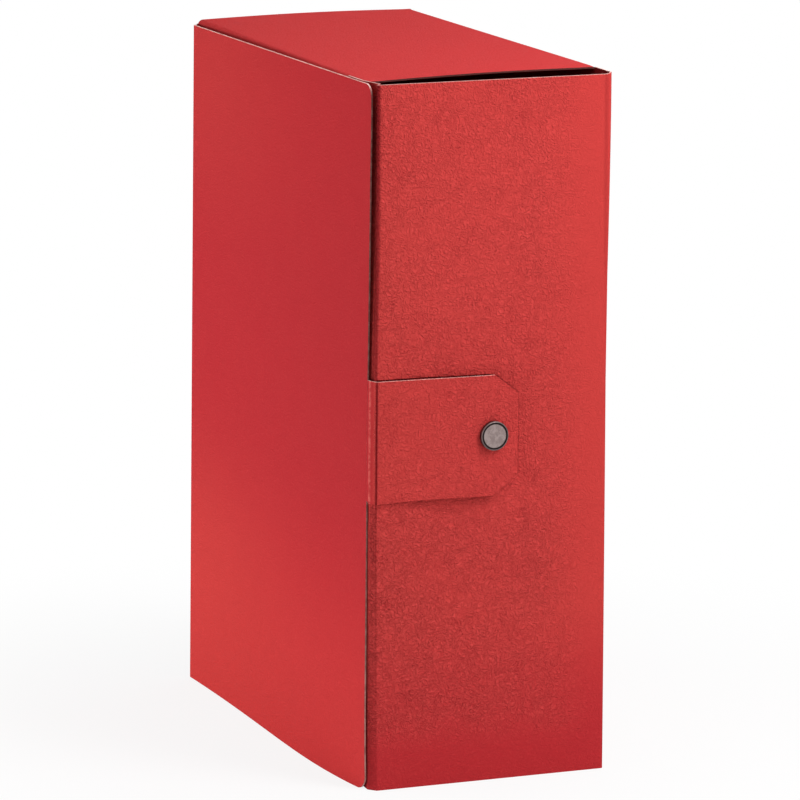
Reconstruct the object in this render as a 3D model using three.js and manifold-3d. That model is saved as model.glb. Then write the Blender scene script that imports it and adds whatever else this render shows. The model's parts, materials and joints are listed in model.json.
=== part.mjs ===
// Project file: a tall document case folded from one sheet of red leather-grain board.
// Millimetres, +Z up. The origin is the middle of the footprint, on the surface it stands on.
// The front face looks towards -Y, the lid is the side that looks towards -X.
import * as THREE from 'three';
import { mergeVertices } from 'three/addons/utils/BufferGeometryUtils.js';
import Module from 'manifold-3d';

const wasm = await Module();
wasm.setup();

// Outside of the closed case, without its tab.
const caseWidth = 124;
const caseDepth = 250;
const caseHeight = 350;

// The board and how it folds.
const boardThickness = 0.8;
const foldInsideRadius = 0.5;
const softFoldInsideRadius = 2.2;
const layerGap = 0.3;
const foldSteps = 4;

// The lid, free on three sides, hung on the fold at the back.
const lidHingeInset = 2;
const lidSetBack = 6;
const lidEdgeClearance = 0.5;
const lidCornerRadius = 9;
const cornerSteps = 8;

// The front flap, which turns the corner and tucks in behind the lid.
const flapCreaseInset = 2.5;
const flapBevelDepth = 4;
const tuckDepth = 36;
const tuckCornerCut = 3;

// The top and bottom walls, folded from the side opposite the lid, and their inner lips.
const wallSetBack = 18;
const topWallRise = 1.2;
const lipDepth = 26;
const lipTaper = 12;
const baseLap = 15;
const wallBackClearance = 1.2;

// The closure tab, an outgrowth of the lid's front edge.
const tabHeight = 60;
const tabReach = 73;
const tabRootReach = 3;
const tabCreaseInset = 1.8;
const tabCreaseStandOff = 0.6;
const tabHingeLead = 1;
const tabCornerCutLength = 12.5;
const tabCornerCutHeight = 9.6;

// The press stud in the middle of the front face.
const snapFromTabEnd = 13.2;
const capRadius = 7.25;
const capHeight = 2.2;
const capWall = 0.5;
const capRimInset = 0.9;
const capRimRound = 0.6;
const capDish = 0.25;
const rivetRadius = 1.5;
const rivetClearance = 0.3;
const socketRadius = 5.2;
const socketHeight = 1.9;
const socketPlate = 0.5;
const socketLipRadius = 4.2;
const studBaseRadius = 4.6;
const studBaseThickness = 0.6;
const studHeadRadius = 2.3;
const studNeckRadius = 2.0;
const studHeadHeight = 1.3;
const studNeckHeight = 0.5;
const studTipRound = 0.35;
const studWall = 0.5;
const snapPlay = 0.35;
const postFlangeRadius = 4.4;
const postFlangeThickness = 0.6;
const roundSteps = 40;

// How far a cutting solid reaches past what it cuts.
const cutMargin = 1;

// Places worked out from the sizes above.
const halfWidth = caseWidth / 2;
const halfDepth = caseDepth / 2;
const halfBoard = boardThickness / 2;
const midHeight = caseHeight / 2;
const layerPitch = boardThickness + layerGap;
const lidX = -halfWidth + halfBoard;
const tuckX = lidX + layerPitch;
const lipX = tuckX + layerPitch;
const lidHingeX = -halfWidth + lidHingeInset;
const lidFrontY = -halfDepth + lidSetBack;
const wallFrontY = -halfDepth + wallSetBack;
const wallBackY = halfDepth - boardThickness - wallBackClearance;
const flapOuterY = -halfDepth;
const flapInnerY = -halfDepth + boardThickness;
const foldRadius = foldInsideRadius + halfBoard;
const softFoldRadius = softFoldInsideRadius + halfBoard;

// The press stud's stack, from the flap's outer face towards the viewer.
const studBackY = flapOuterY - layerGap;
const studFaceY = studBackY - studBaseThickness;
const studTipY = studFaceY - studHeadHeight;
const socketOpenY = studFaceY - layerGap;
const socketBackY = socketOpenY - socketHeight;
const tabInnerY = socketBackY - layerGap;
const tabOuterY = tabInnerY - boardThickness;
const capOpenY = tabOuterY - layerGap;
const capFaceY = capOpenY - capHeight;
const tabCreaseX = -halfWidth + tabCreaseInset;
const tabLowZ = midHeight - tabHeight / 2;
const tabHighZ = midHeight + tabHeight / 2;
const tabEndX = tabCreaseX + tabReach;
const snapX = tabEndX - snapFromTabEnd;
const rivetHoleRadius = rivetRadius + rivetClearance;
const socketBoreRadius = studHeadRadius + snapPlay;
const studBoreRadius = studNeckRadius - studWall;
const postRadius = studBoreRadius - rivetClearance;
const rimStep = capRimRound * (1 - Math.SQRT1_2);

// Materials, as the photograph shows them.
const redBoard = { color: 0xc23c3c, roughness: 0.55, metalness: 0 };
const gunMetal = { color: 0x6a5a58, roughness: 0.35, metalness: 1 };
const plainSteel = { color: 0x9a9896, roughness: 0.35, metalness: 1 };

// A closed geometry as a solid that can be joined and cut.
function solidFrom(geometry) {
  const bare = geometry.index ? geometry.toNonIndexed() : geometry.clone();
  bare.deleteAttribute('normal');
  bare.deleteAttribute('uv');
  const merged = mergeVertices(bare, 1e-4);
  return new wasm.Manifold(new wasm.Mesh({
    numProp: 3,
    vertProperties: new Float32Array(merged.attributes.position.array),
    triVerts: new Uint32Array(merged.index.array),
  }));
}

function geometryFrom(solid) {
  const mesh = solid.getMesh();
  const geometry = new THREE.BufferGeometry();
  geometry.setAttribute('position', new THREE.BufferAttribute(new Float32Array(mesh.vertProperties), 3));
  geometry.setIndex(new THREE.BufferAttribute(new Uint32Array(mesh.triVerts), 1));
  geometry.computeVertexNormals();
  return geometry;
}

function meshOf(name, solid, finish) {
  const mesh = new THREE.Mesh(geometryFrom(solid), new THREE.MeshStandardMaterial(finish));
  mesh.name = name;
  return mesh;
}

// Points along the middle of a folded board, each with the direction it runs in.
// corners holds [across, along, fold radius]; the two ends have no fold.
function foldedLine(corners) {
  const points = corners.map(([across, along]) => new THREE.Vector2(across, along));
  const line = [];
  points.forEach((corner, index) => {
    const before = points[Math.max(index - 1, 0)];
    const after = points[Math.min(index + 1, points.length - 1)];
    const into = corner.clone().sub(before).normalize();
    const out = after.clone().sub(corner).normalize();
    if (index === 0 || index === points.length - 1) {
      line.push({ at: corner, along: index === 0 ? out : into });
      return;
    }
    const turn = into.angleTo(out);
    const side = Math.sign(into.cross(out));
    const radius = corners[index][2];
    const start = corner.clone().addScaledVector(into, -radius * Math.tan(turn / 2));
    const centre = start.clone().add(new THREE.Vector2(-into.y, into.x).multiplyScalar(side * radius));
    for (let step = 0; step <= foldSteps; step += 1) {
      const angle = (side * turn * step) / foldSteps;
      const origin = new THREE.Vector2(0, 0);
      line.push({
        at: start.clone().rotateAround(centre, angle),
        along: into.clone().rotateAround(origin, angle),
      });
    }
  });
  return line;
}

// The section of a folded board: the middle line moved half a board to each side.
function boardSection(corners) {
  const line = foldedLine(corners);
  const sideways = (amount) => line.map(({ at, along }) => (
    new THREE.Vector2(at.x - along.y * amount, at.y + along.x * amount)));
  return new THREE.Shape([...sideways(halfBoard), ...sideways(-halfBoard).reverse()]);
}

function extruded(shape, length) {
  return new THREE.ExtrudeGeometry(shape, { depth: length, bevelEnabled: false, curveSegments: cornerSteps });
}

// A section drawn in plan, standing from one height to another.
function standing(shape, fromZ, toZ) {
  return extruded(shape, toZ - fromZ).translate(0, 0, fromZ);
}

// A section drawn as seen from the front, X across and Z up, running from one depth to another.
function runningBack(shape, fromY, toY) {
  return extruded(shape, toY - fromY).rotateX(Math.PI / 2).translate(0, toY, 0);
}

// An outline drawn on the lid's side, Y across and Z up, from one X to another.
function across(shape, fromX, toX) {
  return extruded(shape, toX - fromX).rotateX(Math.PI / 2).rotateZ(Math.PI / 2).translate(fromX, 0, 0);
}

function block(from, to) {
  const size = to.map((value, axis) => value - from[axis]);
  const middle = to.map((value, axis) => (value + from[axis]) / 2);
  return new THREE.BoxGeometry(...size).translate(...middle);
}

// A round piece about the press stud's axis. profile holds [radius, Y], closed on itself.
function turned(profile) {
  const points = profile.map(([radius, y]) => new THREE.Vector2(radius, y));
  return new THREE.LatheGeometry(points, roundSteps).translate(snapX, 0, midHeight);
}

function drill(radius, fromY, toY) {
  return turned([[0, fromY], [radius, fromY], [radius, toY], [0, toY]]);
}

// Spine, side, front flap and tuck strip, as one upright folded band.
function uprightBand() {
  const section = boardSection([
    [lidHingeX + layerGap, halfDepth - halfBoard],
    [halfWidth - halfBoard, halfDepth - halfBoard, foldRadius],
    [halfWidth - halfBoard, flapOuterY + halfBoard, foldRadius],
    [-halfWidth + flapCreaseInset + halfBoard, flapOuterY + halfBoard, foldRadius],
    [tuckX, flapOuterY + flapBevelDepth, foldRadius],
    [tuckX, flapOuterY + flapBevelDepth + tuckDepth],
  ]);
  return solidFrom(standing(section, 0, caseHeight));
}

// One end wall with its lap on the side panel and its inner lip, drawn for the top.
function endWallSection(rise) {
  return boardSection([
    [halfWidth - halfBoard, caseHeight - baseLap],
    [halfWidth - halfBoard, caseHeight - halfBoard, foldRadius],
    [lipX, caseHeight + rise - halfBoard, softFoldRadius],
    [lipX, caseHeight + rise - lipDepth],
  ]);
}

// The slanted cuts at the two ends of a lip.
function lipCuts(rise) {
  const lipEdgeZ = caseHeight + rise - lipDepth;
  const lipTopZ = caseHeight + rise - softFoldRadius - halfBoard;
  const cuts = [[wallFrontY, 1], [wallBackY, -1]].map(([endY, inwards]) => {
    const triangle = new THREE.Shape([
      new THREE.Vector2(endY - inwards * cutMargin, lipTopZ),
      new THREE.Vector2(endY - inwards * cutMargin, lipEdgeZ - cutMargin),
      new THREE.Vector2(endY + inwards * lipTaper, lipEdgeZ - cutMargin),
    ]);
    return solidFrom(across(triangle, lipX - boardThickness, lipX + boardThickness));
  });
  return cuts[0].add(cuts[1]);
}

function endWall(rise) {
  const wall = solidFrom(runningBack(endWallSection(rise), wallFrontY, wallBackY));
  return wall.subtract(lipCuts(rise));
}

// What the band loses where an end wall is folded from it.
function foldRelief() {
  return solidFrom(block(
    [halfWidth - boardThickness - layerGap, wallFrontY, caseHeight - baseLap / 2],
    [halfWidth + layerGap, wallBackY, caseHeight + layerGap],
  ));
}

// The free corners of the tuck strip are cut off.
function tuckCornerRelief() {
  const tuckEndY = flapOuterY + flapBevelDepth + tuckDepth;
  const corner = new THREE.Shape([
    new THREE.Vector2(tuckEndY + cutMargin, caseHeight - tuckCornerCut - cutMargin),
    new THREE.Vector2(tuckEndY + cutMargin, caseHeight + cutMargin),
    new THREE.Vector2(tuckEndY - tuckCornerCut - cutMargin, caseHeight + cutMargin),
  ]);
  return solidFrom(across(corner, tuckX - boardThickness, tuckX + boardThickness));
}

// Turns a solid made for the top into the one for the bottom.
function forBottom(solid) {
  return solid.mirror([0, 0, 1]).translate([0, 0, caseHeight]);
}

function caseShell() {
  const holeRadius = postRadius + rivetClearance;
  const postHole = solidFrom(drill(holeRadius, flapOuterY - cutMargin, flapInnerY + cutMargin));
  return uprightBand()
    .subtract(foldRelief())
    .subtract(forBottom(foldRelief()))
    .subtract(tuckCornerRelief())
    .subtract(forBottom(tuckCornerRelief()))
    .subtract(postHole)
    .add(endWall(topWallRise))
    .add(forBottom(endWall(0)));
}

// Where the board turns on its way from the lid to the tab, in plan.
const tabRoot = new THREE.Vector2(lidX, lidFrontY - tabRootReach);
const tabCrease = new THREE.Vector2(tabCreaseX + halfBoard, flapOuterY - tabCreaseStandOff - halfBoard);

// A point on the slanted strip between those two, so far before the crease.
function beforeCrease(distance) {
  const back = tabRoot.clone().sub(tabCrease).normalize();
  const point = tabCrease.clone().addScaledVector(back, distance);
  return [point.x, point.y];
}

// The lid from the fold at the spine to the tab's crease, and the outline it is cut to.
function lid() {
  const lowZ = lidEdgeClearance;
  const highZ = caseHeight - lidEdgeClearance;
  const section = boardSection([
    [lidHingeX, halfDepth - halfBoard],
    [lidX, halfDepth - halfBoard, foldRadius],
    [tabRoot.x, tabRoot.y, foldRadius],
    beforeCrease(tabHingeLead + layerGap),
  ]);
  const roundY = lidFrontY + lidCornerRadius;
  const backY = halfDepth + cutMargin;
  const rootY = flapOuterY - tabCreaseStandOff - cutMargin;
  const outline = new THREE.Shape();
  outline.moveTo(backY, lowZ);
  outline.lineTo(backY, highZ);
  outline.lineTo(roundY, highZ);
  outline.absarc(roundY, highZ - lidCornerRadius, lidCornerRadius, Math.PI / 2, Math.PI);
  outline.lineTo(lidFrontY, tabHighZ);
  outline.lineTo(rootY, tabHighZ);
  outline.lineTo(rootY, tabLowZ);
  outline.lineTo(lidFrontY, tabLowZ);
  outline.lineTo(lidFrontY, lowZ + lidCornerRadius);
  outline.absarc(roundY, lowZ + lidCornerRadius, lidCornerRadius, Math.PI, Math.PI * 1.5);
  outline.closePath();
  const cutter = solidFrom(across(outline, -halfWidth - cutMargin, lidHingeX + cutMargin));
  return solidFrom(standing(section, lowZ, highZ)).intersect(cutter);
}

// The tab turns the corner over the flap, stands off it by the press stud's height, and ends past it.
function closureTab() {
  const levelY = tabInnerY - halfBoard;
  const section = boardSection([
    beforeCrease(tabHingeLead),
    [tabCrease.x, tabCrease.y, foldRadius],
    [snapX - capRadius - boardThickness, levelY, capRadius],
    [tabEndX, levelY],
  ]);
  const slope = tabCornerCutHeight / tabCornerCutLength;
  const cornerAt = (z, inwards) => new THREE.Shape([
    new THREE.Vector2(tabEndX - tabCornerCutLength, z),
    new THREE.Vector2(tabEndX + cutMargin, z + inwards * slope * (tabCornerCutLength + cutMargin)),
    new THREE.Vector2(tabEndX + cutMargin, z - inwards * cutMargin),
    new THREE.Vector2(tabEndX - tabCornerCutLength, z - inwards * cutMargin),
  ]);
  const cutFrom = tabOuterY - cutMargin;
  const cutTo = flapOuterY;
  return solidFrom(standing(section, tabLowZ, tabHighZ))
    .subtract(solidFrom(runningBack(cornerAt(tabHighZ, -1), cutFrom, cutTo)))
    .subtract(solidFrom(runningBack(cornerAt(tabLowZ, 1), cutFrom, cutTo)))
    .subtract(solidFrom(drill(rivetHoleRadius, tabOuterY - cutMargin, tabInnerY + cutMargin)));
}

// The cap: a shallow dished disc with a rolled rim, and the rivet under it.
function snapCap() {
  const rivetEndY = socketBackY + socketPlate;
  return solidFrom(turned([
    [0, capFaceY + capDish],
    [capRadius - capRimInset - capDish, capFaceY + capDish],
    [capRadius - capRimInset, capFaceY],
    [capRadius - capRimRound, capFaceY],
    [capRadius - rimStep, capFaceY + rimStep],
    [capRadius, capFaceY + capRimRound],
    [capRadius, capOpenY],
    [capRadius - capWall, capOpenY],
    [capRadius - capWall, capFaceY + capDish + capWall],
    [rivetRadius, capFaceY + capDish + capWall],
    [rivetRadius, rivetEndY],
    [0, rivetEndY],
  ]));
}

// The socket under the tab: a plate held by the rivet, and a collar that grips the stud.
function snapSocket() {
  const plateFaceY = socketBackY + socketPlate;
  return solidFrom(turned([
    [rivetHoleRadius, socketBackY],
    [socketRadius, socketBackY],
    [socketRadius, plateFaceY],
    [socketLipRadius, socketOpenY],
    [socketBoreRadius, socketOpenY],
    [socketBoreRadius, plateFaceY],
    [rivetHoleRadius, plateFaceY],
    [rivetHoleRadius, socketBackY],
  ]));
}

// The stud on the flap's outer face: a base disc and a hollow head.
function snapStud() {
  const neckY = studFaceY - studNeckHeight;
  const shoulderY = studTipY + studTipRound;
  return solidFrom(turned([
    [0, studTipY],
    [studHeadRadius - studTipRound, studTipY],
    [studHeadRadius, shoulderY],
    [studNeckRadius, neckY],
    [studNeckRadius, studFaceY],
    [studBaseRadius, studFaceY],
    [studBaseRadius, studBackY],
    [studBoreRadius, studBackY],
    [studBoreRadius, studTipY + studWall],
    [0, studTipY + studWall],
  ]));
}

// The post inside the case: its flange bears on the flap and its barrel holds the stud.
function snapPost() {
  const flangeFrontY = flapInnerY + layerGap;
  const flangeBackY = flangeFrontY + postFlangeThickness;
  return solidFrom(turned([
    [0, studTipY + studWall + layerGap],
    [postRadius, studTipY + studWall + layerGap],
    [postRadius, flangeFrontY],
    [postFlangeRadius, flangeFrontY],
    [postFlangeRadius, flangeBackY],
    [0, flangeBackY],
  ]));
}

const projectFile = new THREE.Group();
projectFile.add(meshOf('case_shell', caseShell(), redBoard));
projectFile.add(meshOf('lid', lid(), redBoard));
projectFile.add(meshOf('closure_tab', closureTab(), redBoard));
projectFile.add(meshOf('snap_cap', snapCap(), gunMetal));
projectFile.add(meshOf('snap_socket', snapSocket(), plainSteel));
projectFile.add(meshOf('snap_stud', snapStud(), plainSteel));
projectFile.add(meshOf('snap_post', snapPost(), plainSteel));

export default projectFile;
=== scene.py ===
import json
import math
import bmesh
import bpy
from mathutils import Matrix, Vector, noise


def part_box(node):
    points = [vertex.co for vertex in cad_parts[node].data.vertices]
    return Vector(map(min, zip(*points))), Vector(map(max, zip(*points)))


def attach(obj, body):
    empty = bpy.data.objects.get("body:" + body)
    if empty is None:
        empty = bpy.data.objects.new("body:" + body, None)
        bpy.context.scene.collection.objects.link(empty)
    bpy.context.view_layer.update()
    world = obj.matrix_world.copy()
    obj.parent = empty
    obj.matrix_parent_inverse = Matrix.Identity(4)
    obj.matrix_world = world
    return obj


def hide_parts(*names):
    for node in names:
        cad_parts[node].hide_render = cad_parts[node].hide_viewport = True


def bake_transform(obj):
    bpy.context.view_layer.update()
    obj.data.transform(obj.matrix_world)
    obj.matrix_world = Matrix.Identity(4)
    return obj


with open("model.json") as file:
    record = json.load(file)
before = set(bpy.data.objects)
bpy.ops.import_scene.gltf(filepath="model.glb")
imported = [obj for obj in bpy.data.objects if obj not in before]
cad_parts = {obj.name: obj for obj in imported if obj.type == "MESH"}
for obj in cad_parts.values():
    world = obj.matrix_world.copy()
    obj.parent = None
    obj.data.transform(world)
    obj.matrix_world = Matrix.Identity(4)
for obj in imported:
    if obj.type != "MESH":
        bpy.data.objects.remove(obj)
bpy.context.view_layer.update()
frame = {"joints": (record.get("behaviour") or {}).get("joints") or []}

mm = 0.001

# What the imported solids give: the closed case, the lid, the tab, the stud and the creases that turn.
shellLow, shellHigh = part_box("case_shell")
lidLow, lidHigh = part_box("lid")
tabLow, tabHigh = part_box("closure_tab")
capLow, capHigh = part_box("snap_cap")
socketLow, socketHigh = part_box("snap_socket")
studLow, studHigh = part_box("snap_stud")
postLow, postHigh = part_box("snap_post")
hinge = {joint["name"]: Vector(joint["pos_m"]) for joint in frame["joints"]}

halfWidth = shellHigh.x
halfDepth = -shellLow.y
height = lidLow.z + lidHigh.z
snapX = (capLow.x + capHigh.x) / 2
midZ = (capLow.z + capHigh.z) / 2

board = {
    "thickness": 0.8 * mm,
    "fold": 0.9 * mm,          # radius of a crease, at the middle of the board
    "softFold": 2.6 * mm,      # the rounded shoulder where an end wall turns into its lip
    "gap": 0.3 * mm,           # between two layers that lie on each other
    "step": 5 * mm,
    "foldSteps": 8,
    "besideFold": (0.3 * mm, 0.9 * mm),   # extra columns, so that a crease stays narrow
    "groove": 0.3 * mm,        # how deep the score line of a sharp crease is pressed
    "grooveHalfWidth": 0.55 * mm,
    "softCrease": 0.35,        # how deep a rounded crease's score groove and how dark its painted shade are, where a sharp one has 1
    "weld": 0.01 * mm,
    "waves": 0.16 * mm,        # how far the board is from flat
    "waveLength": 75 * mm,
    "waveFade": 12 * mm,       # the waves die out towards folds and seams
    # how far each upright corner stands to the right of square, at the foot and at the top
    "shiftLow": {"backLeft": -0.6 * mm, "backRight": 0.0,
                 "frontLeft": -0.1 * mm, "frontRight": 1.1 * mm},
    "shiftHigh": {"backLeft": 1.25 * mm, "backRight": -0.6 * mm,
                  "frontLeft": -0.5 * mm, "frontRight": 0.55 * mm},
    "bellyFrontLeft": 0.8 * mm,  # the front left corner is pushed out a little, a third of the way up
    "bellyLean": 0.65,
    "sinkBackLeft": 1.7 * mm,  # the top corners have settled down or stand up a little
    "liftRight": 0.95 * mm,
    "sinkFrontRight": 0.3 * mm,
    "settlePower": 3,          # only near the top
}
half = board["thickness"] / 2
lidX = -halfWidth + half
tuckX = lidX + board["thickness"] + board["gap"]
lipX = tuckX + board["thickness"] + board["gap"]
frontY = -halfDepth + half
backY = halfDepth - half
print("frame: a case of", *(round(size * 1000) for size in (2 * halfWidth, 2 * halfDepth, height)), "mm")


# The tab: round the corner, out over the press stud's stack, and cut off at its two free corners.
tab = {
    "cutLength": 12.5 * mm,
    "cutHeight": 9.6 * mm,
    "levelFrom": 8.05 * mm,
    "bendRadius": 7.25 * mm,
    "creaseReach": 1.2 * mm,   # a reach past the crease's corner, read only into a point that nothing uses
    "cutSoft": 0.25 * mm,      # the cut corners' edges are less rubbed
    "grain": 1.0,
}


# Shader graphs: a Wire is an output that takes part in sums, a Graph makes the nodes.
class Wire:
    def __init__(self, graph, socket):
        self.graph = graph
        self.socket = socket

    def maths(self, operation, first, second=0.0):
        return self.graph.add("ShaderNodeMath", {"operation": operation}, {0: first, 1: second})

    def __add__(self, other):
        return self.maths("ADD", self, other)

    def __radd__(self, other):
        return self.maths("ADD", other, self)

    def __sub__(self, other):
        return self.maths("SUBTRACT", self, other)

    def __rsub__(self, other):
        return self.maths("SUBTRACT", other, self)

    def __mul__(self, other):
        return self.maths("MULTIPLY", self, other)

    def __rmul__(self, other):
        return self.maths("MULTIPLY", other, self)

    def __abs__(self):
        return self.maths("ABSOLUTE", self)


class Graph:
    def __init__(self, owner):
        # owner is the material or the world that the nodes belong to
        owner.use_nodes = True
        self.owner = owner
        self.tree = owner.node_tree
        self.tree.nodes.clear()

    def add(self, kind, settings, sockets, output=0):
        node = self.tree.nodes.new(kind)
        for key, value in settings.items():
            setattr(node, key, value)
        for key, value in sockets.items():
            if isinstance(value, Wire):
                self.tree.links.new(value.socket, node.inputs[key])
            else:
                node.inputs[key].default_value = value
        return Wire(self, node.outputs[output]) if node.outputs else None

    def attribute(self, name):
        return self.add("ShaderNodeAttribute", {"attribute_name": name}, {}, output=1)

    def part(self, vector, axis):
        return self.add("ShaderNodeSeparateXYZ", {}, {0: vector}, output=axis)

    def noise(self, place, perMetre, detail=2.0, roughness=0.5, distortion=0.0):
        return self.add("ShaderNodeTexNoise", {}, {"Vector": place, "Scale": perMetre, "Detail": detail,
                                                   "Roughness": roughness, "Distortion": distortion})

    def smooth(self, value, low, high, bottom=0.0, top=1.0):
        return self.add("ShaderNodeMapRange", {"interpolation_type": "SMOOTHSTEP"},
                        {"Value": value, "From Min": low, "From Max": high,
                         "To Min": bottom, "To Max": top})

    def mix(self, share, first, second):
        # sockets 6 and 7 and output 2 are the ones for colours
        return self.add("ShaderNodeMix", {"data_type": "RGBA"}, {0: share, 6: first, 7: second}, output=2)

    def moved(self, place, offset, scale):
        # place + offset * scale, all three of them vectors
        return self.add("ShaderNodeVectorMath", {"operation": "MULTIPLY_ADD"},
                        {0: offset, 1: scale, 2: place})

    def length(self, vector):
        return self.add("ShaderNodeVectorMath", {"operation": "LENGTH"}, {0: vector}, output=1)

    def objectPlace(self):
        return self.add("ShaderNodeTexCoord", {}, {}, output=3)

    def bump(self, heightWire, distance):
        return self.add("ShaderNodeBump", {}, {"Height": heightWire, "Distance": distance})

    def finish(self, shader, output="ShaderNodeOutputMaterial"):
        self.add(output, {}, {"Surface": shader})
        return self.owner


def rgb(red, green, blue):
    # a colour as it is seen, 0 to 255, in the linear form that the sockets take
    def linear(level):
        share = level / 255
        return share / 12.92 if share <= 0.04045 else ((share + 0.055) / 1.055) ** 2.4
    return (linear(red), linear(green), linear(blue), 1.0)


# The outside of the board: red, embossed with a leather grain that follows the flat sheet.
outsideLook = {
    "red": rgb(203, 65, 62),
    "deepRed": rgb(158, 26, 36),
    "paleRed": rgb(219, 77, 74),
    "ridgeHighlightRed": rgb(226, 80, 78),
    "coolToneShadeRed": rgb(198, 50, 56),
    "lidShadeRed": rgb(182, 45, 52),
    "footShadeRed": rgb(178, 44, 50),
    "lidLightRed": rgb(206, 62, 61),
    "creaseShadeRed": rgb(104, 12, 22),
    "tabShadowRed": rgb(52, 8, 12),
    "foldHighlightRed": rgb(228, 112, 104),
    "cutRed": rgb(236, 158, 150),
    "pebblesPerMetre": 950,
    "wrinklesPerMetre": 430,
    "longWrinklesPerMetre": 150,
    "fineGrainPerMetre": 1500,
    "patchesPerMetre": 38,
    "grainDepth": 0.5 * mm,
    "roughness": 0.55,
    "specular": 0.004,
    "warpScale": 150.0,
    "warpReach": (0.005, 0.005, 0.0),
    "paleShare": 0.35,         # the grain's lightening, the painted shade in its hollows and the painted highlight on its ridges
    "hollowShadeShare": 0.4,
    "ridgeHighlightShare": 0.45,
}

# A painted shadow: the dark line on the flap round the shut tab's edge, darkest along its top.
tabShadowLine = {
    "halfWidth": 0.52 * mm,
    "core": 0.4,               # share of the half width that is fully dark
    "outside": 2.2 * mm,       # how far past the tab's end it lies
    "leanFrom": -55 * mm,      # it isn't quite level: from here to there it sinks
    "leanTo": -20 * mm,
    "riseFrom": 0.25 * mm,
    "riseTo": -0.4 * mm,
    "topFrom": 12 * mm,        # below the tab's top edge
    "topTo": 1 * mm,
    "cornerFade": 4 * mm,
    "faint": 0.35,             # how dark it is elsewhere than along the top
    "strength": 0.9,
}


# the mask of the painted shadow line round the shut tab
def tabShadowOutline(g, across, up):
    past = across - (tabHigh.x + tabShadowLine["outside"])
    lean = g.smooth(past, tabShadowLine["leanFrom"], tabShadowLine["leanTo"], tabShadowLine["riseFrom"], tabShadowLine["riseTo"])
    above = up - midZ - lean
    halfTall = (tabHigh.z - tabLow.z) / 2
    corner = (past + tab["cutLength"]) * tab["cutHeight"] + (abs(above) - halfTall) * tab["cutLength"]
    corner = corner * (1 / math.hypot(tab["cutLength"], tab["cutHeight"]))
    outline = past.maths("MAXIMUM", past, abs(above) - halfTall)
    outline = outline.maths("MAXIMUM", outline, corner)
    line = 1 - g.smooth(abs(outline), tabShadowLine["core"] * tabShadowLine["halfWidth"], tabShadowLine["halfWidth"])
    onTop = g.smooth(above, halfTall - tabShadowLine["topFrom"], halfTall - tabShadowLine["topTo"])
    onTop = onTop * (1 - g.smooth(past, -tab["cutLength"] - tabShadowLine["cornerFade"], -tab["cutLength"]))
    return line * (tabShadowLine["faint"] + onTop * (1 - tabShadowLine["faint"]))


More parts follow.
